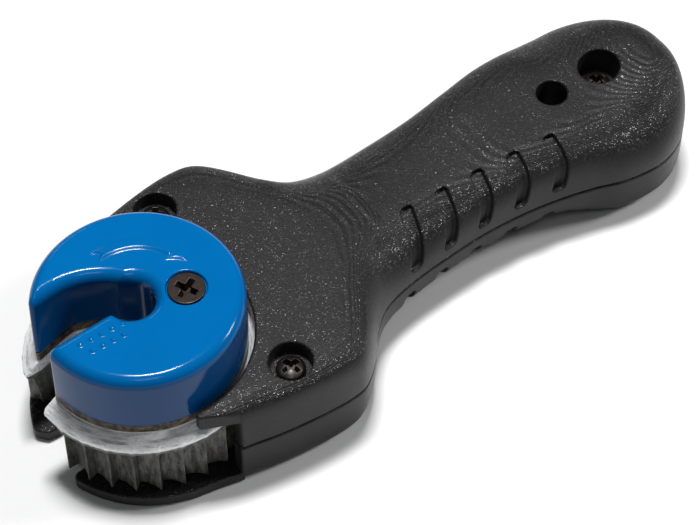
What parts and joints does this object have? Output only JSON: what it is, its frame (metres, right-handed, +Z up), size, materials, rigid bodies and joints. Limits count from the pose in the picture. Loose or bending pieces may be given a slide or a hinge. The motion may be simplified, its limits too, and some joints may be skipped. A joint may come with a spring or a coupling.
{
  "type": "ratchet tube deburring tool",
  "caption": "Ratchet hand tool that snaps on a small tube: a slotted blue cap and toothed wheel turn in the front of a flat two-shell handle, with a sprung cutting and deburring wheel inside.",
  "frame": {"origin": "on the axis of the head, where the tube goes, in the plane of the handle's underside", "axes": "+X along the handle from the head to the butt, +Z up out of the cap, +Y to the right of the person who holds the handle"},
  "size_m": [0.1194, 0.047, 0.0289],
  "materials": {
    "shell_plastic": "fine spark-eroded texture, satin, charcoal black",
    "blue_paint": "glossy blue paint",
    "zinc_casting": "grey zinc die casting, pitted, bright where worn",
    "black_screw_steel": "black oxide",
    "brown_oxide_steel": "brown-black oxide",
    "bright_steel": "ground, bright",
    "tool_steel": "ground and hardened",
    "carriage_steel": "machined, dull",
    "pawl_steel": "sintered, dull",
    "spring_steel": "drawn wire, bright"
  },
  "bodies": {
    "handle": {"upper_shell": "shell_plastic", "lower_shell": "shell_plastic", "front_shell_screws": "black_screw_steel", "rear_shell_screw": "black_screw_steel", "left_pawl_pin": "bright_steel", "right_pawl_pin": "bright_steel", "left_pawl_spring": "spring_steel", "right_pawl_spring": "spring_steel"},
    "head": {"ratchet_wheel": "zinc_casting", "head_cap": "blue_paint", "cap_screw": "brown_oxide_steel", "inner_roller_pin": "bright_steel", "outer_roller_pin": "bright_steel", "carriage_spring": "spring_steel"},
    "carriage": {"cutter_carriage": "carriage_steel", "cutter_axle": "bright_steel"},
    "cutter": {"cutter_wheel": "tool_steel"},
    "inner_roller": {"inner_roller": "bright_steel"},
    "outer_roller": {"outer_roller": "bright_steel"},
    "left_pawl": {"left_pawl": "pawl_steel"},
    "right_pawl": {"right_pawl": "pawl_steel"}
  },
  "joints": [
    {"name": "head_spin", "type": "hinge", "parent": "handle", "child": "head", "pos_m": [0, 0, 0.009], "axis": [0, 0, 1], "continuous": true},
    {"name": "carriage_slide", "type": "slide", "parent": "head", "child": "carriage", "axis": [0.2588, 0.9659, 0], "range_m": [0, 0.0016], "stiffness_N_per_m": 900, "springref_m": -0.001, "deforming": ["carriage_spring"]},
    {"name": "cutter_spin", "type": "hinge", "parent": "carriage", "child": "cutter", "pos_m": [0.00144, 0.00539, 0.0114], "axis": [0, 0, 1], "continuous": true},
    {"name": "inner_roller_spin", "type": "hinge", "parent": "head", "child": "inner_roller", "pos_m": [0.00135, -0.00417, 0.0109], "axis": [0, 0, 1], "continuous": true},
    {"name": "outer_roller_spin", "type": "hinge", "parent": "head", "child": "outer_roller", "pos_m": [-0.00419, -0.00128, 0.0109], "axis": [0, 0, 1], "continuous": true},
    {"name": "left_pawl_pivot", "type": "hinge", "parent": "handle", "child": "left_pawl", "pos_m": [0.02379, -0.00253, 0.009], "axis": [0, 0, 1], "range_deg": [0, 9], "stiffness_Nm_per_rad": 0.03, "springref_deg": -5.73, "deforming": ["left_pawl_spring"]},
    {"name": "right_pawl_pivot", "type": "hinge", "parent": "handle", "child": "right_pawl", "pos_m": [0.02074, 0.01194, 0.009], "axis": [0, 0, 1], "range_deg": [0, 9], "stiffness_Nm_per_rad": 0.03, "springref_deg": -5.73, "deforming": ["right_pawl_spring"]}
  ]
}
